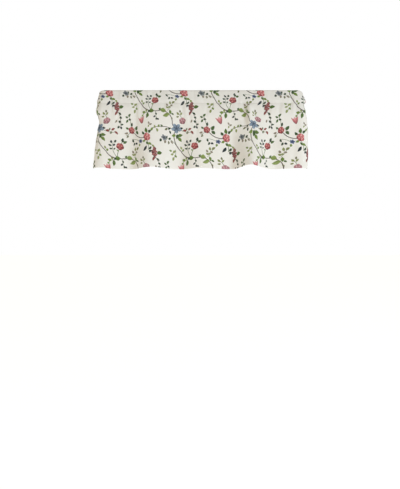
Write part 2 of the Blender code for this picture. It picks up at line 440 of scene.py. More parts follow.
# Where the pocket opens above its seam: drop, past the layer's level, swelling and puckered share.
OPENING_ROWS = ((0.0590, 0.0008, 0.7, 0.6), (0.0555, -0.0010, 0.4, 0.2), (0.0510, 0.0007, 0.1, 0.1))
FLAT_BACK = 0.0470                       # from here up the pocket's back is flat
TOP_STEPS = 10
MOST_LEAN = 0.8                         # how far a thread may lean out, in its own lengths


def front_out(drop):
    """Return how far the front stands out from the middle of the rod."""
    drops, outs = zip(*FRONT_OUT)
    return float(np.interp(drop, drops, outs))


def surface_rows():
    """Return the surface's rows from the pocket's inner edge to the hem."""
    rows = []
    for drop in (POCKET_DEPTH + POCKET_ALLOWANCE, ALLOWANCE_ROW, POCKET_DEPTH):
        rows.append(Row(drop, front_out(drop) - 2 * LAYER, 1.0, 1.0))
    pinch = (front_out(POCKET_DEPTH) - 2 * LAYER - TUNNEL_OUT) / 2
    for (drop, past, *shares), level in zip(OPENING_ROWS, (pinch, pinch, -TUNNEL_OUT)):
        rows.append(Row(drop, level + past, *shares))
    for drop in np.arange(FLAT_BACK, FOLD_DROP + 0.002, -BACK_STEP):
        rows.append(Row(float(drop), -TUNNEL_OUT, 0.0, 0.1))
    for step in range(TOP_STEPS + 1):
        turn = math.pi * step / TOP_STEPS
        rows.append(Row(FOLD_DROP - TUNNEL_OUT * math.sin(turn), -TUNNEL_OUT * math.cos(turn),
                        (1 - math.cos(turn)) / 2, 0.3 + 0.7 * step / TOP_STEPS))
    drops = [float(drop) for drop in np.arange(FOLD_DROP + ROW_STEP, DROP - ROW_STEP / 2, ROW_STEP)
             if abs(drop - POCKET_DEPTH) > SEAM_SPACE]
    drops = sorted(drops + list(SEAM_ROWS)) + [DROP]
    rows += [Row(drop, front_out(drop), 1.0, 1.0) for drop in drops]
    return rows


surface_drops = surface_rows()
print(len(surface_drops), "rows")

# %% The surface's points
SURFACE_COLUMNS = 420
surface_places = np.linspace(-HALF_FLAT, HALF_FLAT, SURFACE_COLUMNS + 1)
surface = np.zeros((len(surface_drops), SURFACE_COLUMNS + 1, 3))
print_across = np.zeros(surface.shape[:2])
middle_column = SURFACE_COLUMNS // 2
on_front = False
for index, row in enumerate(surface_drops):
    x, y, normal_x, normal_y, share = plan_row(surface_places, row.drop)
    swelling = np.where(surface_places < 0, swell_at(-1, row.drop), swell_at(1, row.drop))
    dip = SEAM_DIP * math.exp(-((row.drop - POCKET_DEPTH) / SEAM_WIDE) ** 2) if row.out > 0 else 0.0
    reach = row.out - dip + row.swelling * swelling * share
    reach = reach + row.puckered * crease_reach(x, row.drop) * (1 - share)
    surface[index] = np.stack([x + normal_x * reach, y + normal_y * reach, np.full(len(x), -row.drop)], 1)
    steps = np.hypot(np.diff(surface[index, :, 0]), np.diff(surface[index, :, 1]))
    length = np.concatenate([[0], np.cumsum(steps)])
    length = length - length[middle_column]
    for half in (surface_places < 0, surface_places >= 0):
        straight = half & (np.abs(x) < HALF_ROD - HEM_CORNER)
        far = int(np.argmax(np.where(straight, np.abs(surface_places), -1)))
        print_across[index, half] = length[half] * surface_places[far] / length[far]
    on_front = on_front or row.out > 0
    if on_front and row.drop > POCKET_DEPTH + POCKET_ALLOWANCE:
        thread = row.drop - surface_drops[index - 1].drop
        step_out = surface[index, :, :2] - surface[index - 1, :, :2]
        lean = step_out[:, 0] * normal_x + step_out[:, 1] * normal_y
        lean = np.minimum(np.abs(lean), MOST_LEAN * thread)
        surface[index, :, 2] = surface[index - 1, :, 2] - np.sqrt(thread ** 2 - lean ** 2)

# The length run down the cloth, from the top of the fold: less than nothing on the pocket's back.
run_steps = [math.hypot(low.drop - high.drop, low.out - high.out)
             for high, low in zip(surface_drops, surface_drops[1:])]
surface_down = np.concatenate([[0], np.cumsum(run_steps)])
top_row = min(range(len(surface_drops)), key=lambda index: surface_drops[index].drop)
surface_down = surface_down - surface_down[top_row]
BACK_END = float(surface_down[0])
HEM_FOLD = float(surface_down[-1])
print("surface", surface.shape, "down the cloth", round(BACK_END, 4), "to", round(HEM_FOLD, 4))

# %% Reading the surface
across_step = np.gradient(surface, axis=1)
down_step = np.gradient(surface, axis=0)
outward = np.cross(down_step, across_step)
outward /= np.linalg.norm(outward, axis=2, keepdims=True)


def surface_cell(across, down):
    """Return where places fall in the surface's grid: whole row and column, and the shares past them."""
    column = (np.asarray(across) + HALF_FLAT) / FLAT_WIDTH * SURFACE_COLUMNS
    column = np.clip(column, 0, SURFACE_COLUMNS - 1e-6)
    row = np.interp(down, surface_down, np.arange(len(surface_down)))
    row = np.clip(row, 0, len(surface_down) - 1 - 1e-6)
    first_column, first_row = column.astype(int), row.astype(int)
    return first_row, first_column, row - first_row, column - first_column


def read_surface(table, across, down):
    """Return a table's values at places between its rows and columns."""
    row, column, v, u = surface_cell(across, down)
    if table.ndim == 3:
        v, u = v[..., None], u[..., None]
    top = table[row, column] * (1 - u) + table[row, column + 1] * u
    low = table[row + 1, column] * (1 - u) + table[row + 1, column + 1] * u
    return top * (1 - v) + low * v


def on_surface(across, down, lift=0.0):
    """Return points on the surface, lifted along its outward direction, for arrays of places."""
    place, normal = read_surface(surface, across, down), read_surface(outward, across, down)
    normal = normal / np.linalg.norm(normal, axis=-1, keepdims=True)
    return place + normal * np.asarray(lift)[..., None], normal


middle_point = on_surface(np.zeros(1), np.array([HEM_FOLD]))[0][0]
print("the middle thread ends at", middle_point.round(4).tolist())

# %% [markdown]
# ## How the print lies on the cloth
#
# A length of cloth is never cut quite square to its print, and it slips along the rod as it is hung, so
# the print wanders by up to five centimetres against the hanging threads.  Over the rod the cloth is
# bunched a little from top to bottom as well, the fold there has slid a centimetre sideways, and the
# right fold draws the print up where it bellies out.  Small tables hold these, for the UV map.

# %% Print drift
Drift = namedtuple("Drift", "drop places moved")
DRIFTS = [
    Drift(0.100, (-0.435, -0.255, -0.150, -0.053, 0.143, 0.203, 0.245, 0.340, 0.548),
          (-0.027, -0.004, -0.001, -0.003, 0.004, 0.006, 0.010, 0.010, 0.005)),
    Drift(0.200, (-0.544, -0.368, -0.289, -0.130, 0.030, 0.134, 0.280, 0.430, 0.535),
          (0.014, -0.011, 0.005, 0.006, -0.003, -0.012, 0.002, 0.003, -0.007)),
    Drift(0.330, (-0.466, -0.400, -0.256, -0.050, 0.012, 0.054, 0.178, 0.354, 0.443, 0.554, 0.620),
          (0.004, 0.004, -0.003, -0.006, -0.005, -0.003, -0.031, -0.004, -0.015, -0.045, -0.053)),
]
PRINT_DROPS = [(0.0237, 0.006), (0.0507, 0.041), (0.0922, 0.088), (0.3852, 0.381)]
DRIFT_STEPS = (-0.020, -0.010, 0.0, 0.010, 0.020)   # the drift is the mean over these
Rise = namedtuple("Rise", "across down wide high moved")
RISE = Rise(0.278, 0.186, 0.060, 0.070, 0.015)
TOP_SLIDE = 0.010                       # how far the fold over the rod has slid against the pocket's front
SLIDE_END = 0.045
SLIDE_LONG = 0.030


def print_place(across, down):
    """Return the print's own place for a place on the cloth, in metres."""
    soft = 0.0
    for step in DRIFT_STEPS:
        moved = np.stack([np.interp(across + step, drift.places, drift.moved) for drift in DRIFTS])
        soft = soft + moved / len(DRIFT_STEPS)
    drops = [drift.drop for drift in DRIFTS]
    level = np.interp(down, drops, range(len(drops)))
    low = np.minimum(level.astype(int), len(drops) - 2)
    share = ease(level - low)
    first = np.take_along_axis(soft, low[None], 0)[0]
    second = np.take_along_axis(soft, low[None] + 1, 0)[0]
    (top, printed_top), (foot, printed_foot) = PRINT_DROPS[0], PRINT_DROPS[-1]
    printed = np.interp(down, *zip(*PRINT_DROPS))
    printed = np.where(down < top, down - top + printed_top, printed)
    printed = np.where(down > foot, down - foot + printed_foot, printed)
    near = hump((across - RISE.across) / RISE.wide) * hump((down - RISE.down) / RISE.high)
    printed = printed + RISE.moved * near
    slide = TOP_SLIDE * ease((SLIDE_END - down) / SLIDE_LONG)
    return across + first + (second - first) * share + slide, printed


print("the print drifts by", round(-min(min(drift.moved) for drift in DRIFTS) * 1000), "mm at most")

# %% [markdown]
# ## Hems
#
# A hem is the cloth's own edge, folded back and sewn.  The sheet is cut larger than it hangs, by a
# turning at each side and one at the bottom, and each turning is the same grid folded over: past the
# fold line a place counts back, one layer further in.  Loose strips behind the cloth could stand for the
# hems, but their edges would show below and beside it, where real cloth has a fold.

# %% The sheet's places
CUT_WIDTH = FLAT_WIDTH + 2 * SIDE_HEM
CUT_LENGTH = HEM_FOLD + HEM_DEPTH - BACK_END
THICKNESS = 0.0006
FRONT_LAYER = 0.0004                    # the front layer's place in the solid's thickness
FOLD_OFFSETS = (-0.0045, -0.0015, -0.0004, 0.0, 0.0004, 0.0015, 0.0045)
COLUMN_STEP = 0.0050
ROW_SPACE = 0.001                       # how near a fold line's rows no other row lies
TURNED_STEP = 0.0050
TURNED_START, TURNED_END = 0.009, 0.002   # from the hem's fold, and short of its raw edge
TURN_SOFT = 0.0015                      # how much cloth a fold line takes to turn over
HEM_EASE = 0.007                        # how much cloth it takes to rise over a side hem's turning


def folded_places(inner, outer, step, far):
    """Return places from inner to outer with a fold line at far: finer next to the fold."""
    places = list(np.arange(inner, far + FOLD_OFFSETS[0] - step / 3, step))
    places += [far + offset for offset in FOLD_OFFSETS]
    places += list(np.arange(far + FOLD_OFFSETS[-1] + step, outer - step / 3, step)) + [outer]
    return places


def on_side_hem(across):
    """Return 1 where a side hem's turning lies behind the cloth, and 0 elsewhere."""
    return ease((np.abs(across) - (HALF_FLAT - SIDE_HEM - HEM_EASE)) / HEM_EASE)


half_columns = folded_places(COLUMN_STEP, CUT_WIDTH / 2, COLUMN_STEP, HALF_FLAT)
columns = np.array([-place for place in reversed(half_columns)] + [0.0] + half_columns)
front_rows = [down for down in surface_down if down < HEM_FOLD + FOLD_OFFSETS[0] - ROW_SPACE]
hem_rows = [HEM_FOLD + offset for offset in FOLD_OFFSETS]
turned_rows = list(np.arange(HEM_FOLD + TURNED_START, HEM_FOLD + HEM_DEPTH - TURNED_END, TURNED_STEP))
rows_down = np.array(front_rows + hem_rows + turned_rows + [HEM_FOLD + HEM_DEPTH])

places, downs = np.meshgrid(columns, rows_down)
side_turned = ease((np.abs(places) - HALF_FLAT) / TURN_SOFT + 0.5)
hem_turned = ease((downs - HEM_FOLD) / TURN_SOFT + 0.5)
folded_across = np.sign(places) * (HALF_FLAT - np.abs(np.abs(places) - HALF_FLAT))
folded_down = HEM_FOLD - np.abs(downs - HEM_FOLD)
layers_in = (1 - hem_turned) * side_turned + hem_turned * (1 + 2 * on_side_hem(folded_across) - side_turned)
sheet_points = on_surface(folded_across, folded_down, FRONT_LAYER - LAYER * layers_in)[0]
print("sheet grid", places.shape, "cut", round(CUT_WIDTH, 4), "by", round(CUT_LENGTH, 4))

# %% [markdown]
# ## The print
#
# A trailing vine with roses, blue flowers and small leaves is printed in a half-drop repeat: each row
# of the motif is moved by half a repeat against the row above.  Every motif below is one entry of a
# table: its place in millimetres from where the vine forks, x to the right and y down, its length and
# width, the way its tip points in degrees, and its tone.  These are plain garden forms drawn for this
# cloth, like the printed ones only in kind, colour, place and size.  A picture file could hold the print
# as well, but a table is easy to read and to change, and its motifs have no pixels.

# %% The repeat and its leaves
REPEAT = 406.0
REPEAT_DOWN = 229.0
FORK = (147.0, 100.6)                   # one fork's place on the cloth, across and down

Motif = namedtuple("Motif", "x y long wide turn tone")
LEAF_LONG, LEAF_WIDE = 1.10, 1.35       # how much fuller every leaf is printed than the table says
# Leaf tones: 0 blue-black, .15 dark green, .3 middle green, .45 bright, .6 yellow-green, .75 olive,
# .9 pale grey-green, 1 red-brown.
LEAVES = [Motif(x, y, long * LEAF_LONG, wide * LEAF_WIDE, turn, tone) for x, y, long, wide, turn, tone in (
    (0, 0, 27, 17, -8, 0.38), (-13, 3, 13, 9, 170, 0.15), (-54, -51, 15, 8, -105, 0.60),
    (-45, -40, 15, 8, -50, 0.45),
    # sprig to the left of the upper rose
    (0, -82, 16, 8, -50, 0.15), (-19, -80, 15, 8, -95, 0.00), (-28, -63, 16, 8, -155, 0.15),
    (-8, -65, 15, 8, -40, 0.00), (-27, -46, 14, 7, 185, 0.15), (-9, -46, 12, 6, -30, 0.15),
    # above the upper rose
    (35, -88, 21, 10, -80, 0.15), (46, -79, 20, 10, -30, 0.30), (5, -38, 12, 6, -140, 0.45),
    # along the right stem
    (62, -3, 30, 17, 12, 0.50), (78, 21, 36, 15, 160, 0.51), (99, 6, 23, 10, 78, 0.40),
    (111, 15, 15, 7, 30, 0.30), (108, 36, 13, 6, 55, 0.75), (44, -9, 14, 8, -50, 0.30),
    # round the blue flower
    (158, 84, 20, 9, -12, 0.00), (119, 119, 21, 11, 165, 0.45), (152, 117, 25, 12, -14, 0.36),
    (149, 137, 25, 13, 52, 0.42), (137, 124, 23, 12, 105, 0.24),
    # left branch
    (-43, 9, 19, 11, 188, 0.45), (-22, 24, 28, 12, 102, 0.33), (-29, 1, 13, 8, -140, 0.60),
    (-51, 24, 12, 7, -30, 0.45),
    # small dark sprig below the fork
    (25, 16, 12, 7, 70, 0.15), (16, 30, 14, 7, 140, 0.00), (27, 41, 13, 7, 100, 0.15),
    (36, 42, 13, 7, 20, 0.00),
    # pale sprig above the right stem
    (84, -17, 17, 8, -150, 0.62), (83, -31, 16, 8, -130, 0.90), (98, -43, 18, 9, -100, 0.62),
    (115, -46, 19, 9, -35, 0.66), (106, -28, 15, 7, 20, 0.90), (95, -20, 14, 7, -20, 0.62),
    # hanging sprig
    (-92, -33, 20, 9, -35, 0.60), (-105, -19, 17, 8, 160, 0.60), (-86, -11, 15, 8, 40, 0.45),
    (-99, 3, 19, 9, 105, 0.60), (-112, -36, 15, 8, 195, 0.45),
    # round the dark cluster and down its sprig
    (232, -20, 26, 14, -16, 0.32), (188, -28, 14, 7, -165, 0.22), (199, 13, 19, 8, 105, 1.00),
    (222, 14, 20, 8, 40, 0.15), (228, 33, 15, 8, 20, 0.15), (209, 51, 15, 7, 110, 0.90),
    (226, 53, 16, 8, 60, 0.15), (240, 66, 14, 7, -15, 0.15), (225, 79, 15, 8, 120, 0.15),
    (237, 82, 14, 7, 60, 0.00),
    # round the left rose
    (-118, 66, 19, 9, -88, 0.15), (-91, 84, 25, 13, -60, 0.28), (-87, 106, 23, 12, 40, 0.26),
    (-148, 108, 17, 8, 165, 0.90), (-143, 123, 15, 7, 125, 0.75), (-142, 84, 15, 8, -150, 0.30),
    # sprig above the left rose
    (-131, 21, 18, 9, -50, 0.30), (-146, 31, 16, 8, 200, 0.30), (-129, 42, 15, 8, 10, 0.15),
    (-143, 50, 17, 8, 120, 0.30),
    # round the middle rose and below it
    (-27, 99, 26, 13, -105, 0.34), (-8, 104, 20, 10, -50, 0.30), (-46, 112, 20, 11, -135, 0.20),
    (-43, 151, 18, 9, 150, 0.45), (-40, 189, 31, 10, 128, 0.00), (-13, 166, 21, 10, 25, 0.45),
    (2, 178, 16, 8, 60, 0.60), (-27, 163, 17, 8, 75, 0.30), (-14, 188, 20, 8, 135, 0.15),
    (-17, 204, 14, 8, 100, 0.00),
    # arch
    (-8, 103, 16, 8, 200, 0.15), (5, 93, 19, 9, -55, 0.45), (33, 97, 18, 9, 80, 0.60),
    (20, 80, 16, 8, -100, 0.60), (56, 74, 15, 7, -150, 0.30), (80, 91, 18, 9, 150, 0.75),
    (97, 86, 18, 8, -30, 0.15), (101, 104, 17, 8, 70, 0.15), (41, 75, 15, 8, -70, 0.45),
    # pale pair
    (-12, 62, 15, 7, -120, 0.90), (-1, 69, 15, 7, -20, 0.90), (-12, 78, 13, 6, 110, 0.60),
    # leaves by the grey flower
    (45, 146, 18, 9, 130, 0.15), (68, 152, 18, 9, 110, 0.90), (87, 155, 17, 8, 95, 0.75),
    (105, 152, 17, 8, 50, 0.90), (95, 135, 17, 8, -40, 0.15), (80, 128, 14, 7, -60, 0.15),
    # thin stem with the small blue flower
    (-117, 144, 17, 8, -110, 0.15), (-109, 161, 17, 8, 120, 0.15), (-94, 159, 15, 8, 10, 0.00),
    (-73, 168, 15, 8, 110, 0.45),
    # rosy flower's sprig and the red-brown sprig
    (137, 13, 17, 8, -135, 0.64), (154, 13, 16, 7, -60, 0.62), (137, 29, 14, 7, 175, 0.66),
    (148, 2, 14, 7, -100, 0.75), (176, 95, 18, 9, 185, 1.00), (201, 89, 18, 8, -30, 1.00),
    (190, 106, 16, 8, 120, 0.80), (214, 106, 20, 8, 50, 1.00), (186, 88, 12, 6, -80, 0.75),
)]
print(len(LEAVES), "leaves a repeat")

# %% Flowers and stems
# Flower tones: 0 dark wine red, .33 red, .67 pink, 1 mauve.
ROSES = [Motif(*flower) for flower in (
    (20, -57, 40, 36, 10, 0.34), (-120, 94, 37, 34, 60, 0.38), (-25, 131, 42, 41, 95, 0.64),
    (163, 48, 36, 33, 30, 0.95),
    (209, -38, 21, 18, -60, 0.17), (202, -23, 24, 22, 70, 0.07), (208, -8, 22, 19, 100, 0.13),
    (215, -11, 13, 11, 200, 0.23), (215, -24, 15, 13, 20, 0.27), (199, -11, 14, 12, 130, 0.23),
    (205, 5, 14, 11, 95, 0.13),
)]
BELLS = [Motif(-56, 44, 42, 46, 74, 0.76)]
# Tones of the blue flowers: 0 grey, .5 blue, 1 violet.
BLUES = [Motif(*flower) for flower in (
    (134, 84, 55, 50, 20, 0.5), (65, 132, 34, 30, 40, 0.0), (-65, 150, 25, 23, 0, 1.0),
)]
STEM_THICK = 1.40
STEM_OVERLAP = 0.35                     # how far a stem runs on past its end, in its own thicknesses
Stem = namedtuple("Stem", "x y end_x end_y sag thick")
WOOD = [Stem(*sizes) for sizes in (
    (-80, -122, -55, -34, -13, 3.0), (-55, -34, 0, 0, -10, 3.2), (0, 0, 52, -3, -3, 2.6),
    (52, -3, 100, 24, 5, 2.4), (100, 24, 112, 62, 3, 2.8), (112, 62, 134, 84, -4, 2.8),
    (134, 84, 123, 107, 3, 3.0), (-106, 107, -42, 134, -9, 2.8), (-5, 105, 52, 80, 9, 2.0),
    (52, 80, 124, 96, 8, 2.0), (199, -10, 235, 78, 9, 1.8),
)]
GREEN = [Stem(*sizes) for sizes in (
    (0, 0, 14, -42, 4, 2.0), (0, -2, -18, -50, 5, 1.8), (-18, -50, -10, -76, 3, 1.5),
    (0, 2, -45, 9, 3, 2.2), (-36, 10, -50, 34, -3, 1.6), (84, -2, 112, -42, -4, 1.3),
    (22, 4, 31, 46, -3, 1.5), (-26, 144, -24, 196, 4, 1.8), (71, 135, 124, 163, 8, 1.5),
    (-84, -42, -100, 6, 5, 1.4), (-138, 22, -122, 80, 4, 1.6), (138, 14, 158, 40, 4, 1.6),
    (146, 88, 216, 104, -5, 1.5), (-121, 138, -70, 152, 5, 1.3), (-24, 110, -29, 94, 1, 1.6),
    (-150, 118, -130, 104, -2, 1.3), (-106, 88, -92, 80, 1, 1.5), (28, -72, 40, -84, 2, 1.5),
)]
print(len(ROSES + BELLS + BLUES), "flowers and", len(WOOD + GREEN), "stems a repeat")

# %% [markdown]
# ## Tiles of the repeat
#
# A shader sees one place at a time, so the place is first brought back into one tile of the repeat.  A
# motif that lies across the edge of that tile would be cut, so there are four tilings, with their
# middles half a repeat apart, and each motif is drawn in the one where it lies furthest from the edge.

# %% Tiles
TILES = [(0.0, 0.0), (REPEAT / 2, 0.0), (0.0, REPEAT_DOWN / 2), (REPEAT / 2, REPEAT_DOWN / 2)]


def open_tiles(across, down):
    """Return the four tiles' wires: a place in the repeat about each middle, in millimetres."""
    wires = []
    for middle_x, middle_y in TILES:
        row = ((down - (FORK[1] + middle_y)) / REPEAT_DOWN + 0.5).of("FLOOR")
        y = down - FORK[1] - row * REPEAT_DOWN
        x = across - (FORK[0] + middle_x) - row * (REPEAT / 2)
        x = x.maths("WRAP", x, REPEAT / 2, -REPEAT / 2) + middle_x
        wires.append(x.node("ShaderNodeCombineXYZ", {}, {0: x, 1: y, 2: 0.0}))
    return wires


def best_tile(x, y):
    """Return the tile where a motif lies furthest from the edge, and its place there."""
    found = []
    for index, (middle_x, middle_y) in enumerate(TILES):
        row = math.floor((y - middle_y) / REPEAT_DOWN + 0.5)
        down = y - row * REPEAT_DOWN
        across = (x - row * REPEAT / 2 - middle_x + REPEAT / 2) % REPEAT - REPEAT / 2 + middle_x
        margin = min(REPEAT_DOWN / 2 - abs(down - middle_y), REPEAT / 2 - abs(across - middle_x))
        found.append((margin, index, across, down))
    return max(found)[1:]


print("the vine's fork is drawn in tile", best_tile(0, 0)[0])

# %% Layers
def layers_of(motifs):
    """Share the motifs out over layers, so that no two in one layer come near each other."""
    layers = []
    for motif in sorted(motifs, key=lambda motif: -motif.long):
        for layer in layers:
            if all(gap_between(motif, other) > 0 for other in layer):
                layer.append(motif)
                break
        else:
            layers.append([motif])
    return layers


def gap_between(motif, other):
    """Return the smallest gap between two motifs' circles, anywhere in the repeat."""
    gaps = []
    for rows in (-1, 0, 1):
        for repeats in (-1.5, -1.0, -0.5, 0.0, 0.5, 1.0, 1.5):
            if (rows % 2 == 0) == (repeats % 1 == 0):
                aside = motif.x - other.x + repeats * REPEAT
                gaps.append(math.hypot(aside, motif.y - other.y + rows * REPEAT_DOWN))
    return min(gaps) - (motif.long + other.long) / 2


print("the leaves need", len(layers_of(LEAVES)), "layers")

# %% One motif's own frame
FAR_AWAY = (99.0, 99.0, 0.0)            # a place outside every motif
TURN_UNIT = 1000                        # a turn travels as a third part, too small to change a distance


def nearest_motif(tiles, layer):
    """Return a place's own frame within the layer's motif that covers it, and the motif's tone.

    The frame has x along the motif and y across it, from -1 to 1.
    """
    place, form = FAR_AWAY, (1.0, 1.0, 0.0)
    for motif in layer:
        index, x, y = best_tile(motif.x, motif.y)
        here = tiles[index].node("ShaderNodeVectorMath", {"operation": "SUBTRACT"},
                                 {0: tiles[index], 1: (x, y, -motif.turn / TURN_UNIT)})
        covered = length_of(here) < motif.long / 2
        place = blend(covered, place, here, "VECTOR")
        form = blend(covered, form, (2 / motif.long, 2 / motif.wide, motif.tone), "VECTOR")
    x, y, turn = split(place)
    by_length, by_width, tone = split(form)
    turn = turn * math.radians(TURN_UNIT)
    cosine, sine = turn.of("COSINE"), turn.of("SINE")
    return (x * cosine + y * sine) * by_length, (y * cosine - x * sine) * by_width, tone


# %% Stems
def draw_stems(tiles, stems):
    """Return 1 on the stems and 0 elsewhere.  Each stem is an arc of a circle."""
    drawn = None
    for stem in stems:
        chord = math.hypot(stem.end_x - stem.x, stem.end_y - stem.y)
        along = math.atan2(stem.end_y - stem.y, stem.end_x - stem.x)
        radius = (chord ** 2 / 4 + stem.sag ** 2) / (2 * abs(stem.sag))
        facing = along - math.copysign(math.pi / 2, stem.sag)
        index, x, y = best_tile((stem.x + stem.end_x) / 2, (stem.y + stem.end_y) / 2)
        peak = (x + abs(stem.sag) * math.cos(facing), y + abs(stem.sag) * math.sin(facing), 0)
        middle = (peak[0] - radius * math.cos(facing), peak[1] - radius * math.sin(facing), 0)
        thick = stem.thick * STEM_THICK
        ring = tiles[index].maths("COMPARE", distance_to(tiles[index], middle), radius, thick / 2)
        near = distance_to(tiles[index], peak) < math.hypot(chord / 2, stem.sag) + STEM_OVERLAP * thick
        drawn = ring * near if drawn is None else drawn.maths("MAXIMUM", drawn, ring * near)
    return drawn


# %% [markdown]
# ## Leaves and flowers
#
# Inside its own frame every leaf has the same shape: two curved edges that meet at a point, a midrib and
# a darker half.  A rose is a disc of two turns of petals, each petal pale at one side and dark at the
# other.  A bell is seen from its side, with three lobes and a pointed foot, and a blue flower has five
# lobes round a dark eye.  Each is tinted by its own tone, as a print with few inks does it.

# %% Inks
LEAF_INKS = [(44, 52, 54), (54, 70, 50), (70, 96, 50), (110, 134, 60), (150, 162, 98),
             (106, 104, 66), (142, 148, 126), (136, 66, 58)]
ROSE_LIGHT = [(172, 126, 124), (216, 150, 142), (238, 186, 180), (206, 178, 180)]
ROSE_RED = [(102, 64, 64), (170, 80, 78), (206, 112, 112), (178, 130, 134)]
ROSE_DARK = [(46, 36, 38), (88, 42, 44), (124, 64, 66), (114, 80, 86)]
BLUE_LIGHT = [(158, 164, 166), (158, 174, 188), (116, 130, 162)]
BLUE_DARK = [(66, 72, 76), (70, 86, 104), (52, 62, 92)]
WOOD_INK = (88, 78, 72)
GREEN_INK = (92, 110, 72)
GROUND_INK = (230, 227, 218)


def ink_ramp(tone, inks):
    """Return the ink for a tone from 0 to 1, from inks spread evenly along it."""
    wire = tone.node("ShaderNodeValToRGB", {}, {0: tone})
    ramp = wire.socket.node.color_ramp
    ramp.interpolation = "LINEAR"
    while len(ramp.elements) < len(inks):
        ramp.elements.new(0.5)
    for index, ink in enumerate(inks):
        ramp.elements[index].position = index / (len(inks) - 1)
    for index, ink in enumerate(inks):
        ramp.elements[index].color = linear(ink)
    return wire


def plain_ink(wire, ink):
    """Return a wire with one ink's colour."""
    made = wire.node("ShaderNodeRGB")
    made.socket.default_value = linear(ink)
    return made


def tinted(colour, strength):
    """Return a colour made lighter or darker."""
    return colour.node("ShaderNodeVectorMath", {"operation": "SCALE"}, {0: colour, "Scale": strength})


print(len(LEAF_INKS), "inks for leaves,", len(ROSE_RED), "reds and", len(BLUE_LIGHT), "blues")

# %% Leaves
def draw_leaves(x, y, tone, wash):
    """Return where a leaf is, and its colour."""
    bent = y - x * x * 0.24
    edge = 1.0 - x * x * 1.10 - abs(bent) * (1.08 + x * 0.22)
    inside = edge > 0.0
    rib = 1.0 - (abs(bent) < 0.10) * 0.16
    half = 1.0 - (bent > 0.0) * 0.17
    veins = 1.0 + (x * 15 - abs(bent) * 9).of("SINE") * 0.05
    rim = 1.0 - (edge < 0.16) * 0.12
    ink = ink_ramp(tone, LEAF_INKS)
    return inside, tinted(ink, rib * half * veins * rim * (0.82 + wash * 0.42))


# %% Red flowers
def petals_round(angle, count, turned):
    """Return, from 0 to 1, how far round one of a ring of overlapping petals a place lies."""
    return (angle * (count / (2 * math.pi)) + turned).of("FRACT")


def flower_colour(shade, tone, wash):
    """Return a red flower's colour, from its light ink at shade 0 over its red to its dark ink at 1."""
    shade = (shade + wash * 0.5 - 0.25) * 2
    upper = shade.node("ShaderNodeClamp", {}, {0: shade})
    lower = shade.node("ShaderNodeClamp", {}, {0: shade - 1.0})
    pale = blend(upper, ink_ramp(tone, ROSE_LIGHT), ink_ramp(tone, ROSE_RED))
    return blend(lower, pale, ink_ramp(tone, ROSE_DARK))


def draw_roses(x, y, tone, wash):
    """Return where a rose is, and its colour."""
    radius = (x * x + y * y).of("SQRT")
    angle = y.maths("ARCTAN2", y, x)
    outer = petals_round(angle, 5, tone * 3 + radius * 0.25)
    inner = petals_round(angle, 3, tone * 7 - radius * 0.9)
    edge = 0.97 - abs(outer - 0.45) * 0.20
    inside = radius < edge
    in_heart = radius < 0.58 - abs(inner - 0.5) * 0.12
    shade = blend(in_heart, 0.98 - outer * 0.75, 1.04 - inner * 0.95 - radius * 0.25, "FLOAT")
    shade = shade + (x * 0.16 + y * 0.20)
    gaps = (outer < 0.06) + (abs(radius - 0.58) < 0.040) + (radius < 0.12) + (radius > edge - 0.07)
    dark = 1.0 - gaps.maths("MINIMUM", gaps, 1.0) * 0.30
    return inside, tinted(flower_colour(shade, tone, wash), dark)


def draw_bells(x, y, tone, wash):
    """Return where a bell is, and its colour.  Its foot points along x, its three lobes against x."""
    side = abs(y)
    girth = (1.0 - x).of("SQRT")
    flank = girth * 0.60 - side
    mouth = x + (y * 9.0).of("COSINE") * 0.20 + 0.50
    edge = flank.maths("MINIMUM", flank, mouth)
    middle_petal = girth * 0.27 - side
    shade = 0.60 + x * 0.42 - (middle_petal > 0.0) * 0.20 + (y * 40).of("SINE") * 0.05
    lines = (abs(middle_petal) < 0.035).maths("MAXIMUM", abs(middle_petal) < 0.035, edge < 0.06)
    return edge > 0.0, tinted(flower_colour(shade, tone, wash), 1.0 - lines * 0.28)


# %% Blue flowers
def draw_blues(x, y, tone, wash):
    """Return where a blue flower is, and its colour."""
    radius = (x * x + y * y).of("SQRT")
    angle = y.maths("ARCTAN2", y, x)
    lobe = abs((angle * 2.5).of("COSINE"))
    inside = radius < lobe * 0.42 + 0.56
    petal = 1.05 - lobe * 0.50 - radius * 0.55 + (angle * 20).of("SINE") * 0.16 + wash * 0.4
    petal = petal.node("ShaderNodeClamp", {}, {0: petal})
    colour = blend(petal, ink_ramp(tone, BLUE_LIGHT), ink_ramp(tone, BLUE_DARK))
    return inside, tinted(colour, 1.0 - (radius < 0.20) * 0.45)


# %% [markdown]
# ## The cotton
#
# The cloth is a plain weave of warm white cotton, matt, with threads about half a millimetre apart.  Its
# printed face shows the motifs; the reverse shows them only faintly, because the ink hardly soaks
# through.  Both sides read the piece's own UV map, which measures the flat cloth.

# %% Sizes of the cotton
COTTON_ROUGHNESS = 0.88
THREAD_PITCH = 0.45                     # millimetres
WOBBLE = 2.2                            # millimetres the hand-drawn edges wander
WEAVE_HIGH = 0.00003                    # metres
CRUMPLE_HIGH = 0.0009                   # metres, the faint creases left from folding and pressing
REVERSE_INK = 0.22
POCKET_PAINTED_SHADE = 0.113                     # painted shade: how much darker the colour is made towards and over the pocket, whose layers let no light through from behind
POCKET_SHADE_EDGE = (135.0, 56.0)             # where that starts and is full, in millimetres down the cloth
FOOT_PAINTED_LIGHT = 0.025                      # painted light: how much brighter the colour is made at the foot, where light gets behind the cloth
FOOT_EDGE = (250.0, 350.0)
INK_STRENGTH = "ink_strength"
print("a thread each", THREAD_PITCH, "mm; the reverse shows", REVERSE_INK, "of the ink")

# %% Noise and soft edges
def noise(place, scale, detail=2.0, output=0):
    """Return smooth noise at a flat place."""
    return place.node("ShaderNodeTexNoise", {"noise_dimensions": "2D"},
                      {"Vector": place, "Scale": scale, "Detail": detail}, output)


